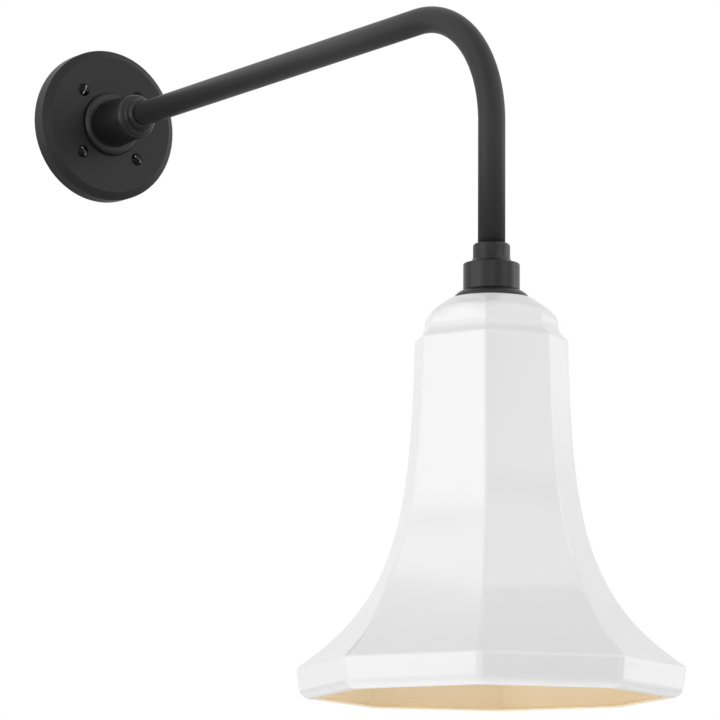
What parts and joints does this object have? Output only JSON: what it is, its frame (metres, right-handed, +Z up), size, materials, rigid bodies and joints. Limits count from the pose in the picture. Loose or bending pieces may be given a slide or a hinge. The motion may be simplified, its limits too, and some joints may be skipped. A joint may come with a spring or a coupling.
{
  "type": "barn light",
  "caption": "Wall-mounted barn light: a round plate carries a long tube arm that bends down to a socket cup and a deep octagonal bell shade round a screw-in lamp.",
  "frame": {"origin": "centre of the wall plate's back face, on the wall", "axes": "-Y out from the wall along the arm, +Z up, +X to the right for someone who faces the wall"},
  "size_m": [0.3322, 0.8251, 0.688],
  "materials": {
    "matte_black": "matte powder coat",
    "gloss_black": "gloss",
    "enamel_white": "gloss enamel, white outside and cream inside",
    "zinc": "zinc plated",
    "foam": "closed-cell foam",
    "bush_plastic": "moulded",
    "lead_black": "extruded",
    "lead_white": "extruded",
    "connector_orange": "moulded",
    "copper": "bare copper",
    "brass": "bright",
    "porcelain": "glazed porcelain",
    "lamp_metal": "bright",
    "lamp_insulator": "black glass",
    "frosted_glass": "frosted"
  },
  "bodies": {
    "fixture": {"wall_plate": "matte_black", "wall_gasket": "foam", "mounting_ring": "zinc", "plate_screws": "gloss_black", "hub_flange": "matte_black", "hub_coupling": "matte_black", "hub_washer": "zinc", "hub_locknut": "zinc", "arm_tube": "matte_black", "wire_bush": "bush_plastic", "live_lead": "lead_black", "neutral_lead": "lead_white", "wire_connectors": "connector_orange", "earth_screws": "brass", "earth_lead": "copper", "socket_cup": "matte_black", "set_screw": "gloss_black", "shade_holder": "matte_black", "shade_seal": "foam", "shade": "enamel_white", "clamp_ring": "zinc", "nipple": "zinc", "nipple_nut": "zinc", "lampholder_cap": "zinc", "lampholder_body": "porcelain", "terminal_plates": "brass", "terminal_screws": "brass", "screw_shell": "brass", "centre_contact": "brass"},
    "lamp": {"lamp_contact": "lamp_metal", "lamp_insulator": "lamp_insulator", "lamp_cap": "lamp_metal", "lamp_glass": "frosted_glass"}
  },
  "joints": [
    {"name": "lamp_removal", "type": "slide", "parent": "fixture", "child": "lamp", "axis": [0, 0, -1], "range_m": [0, 0.36]}
  ]
}
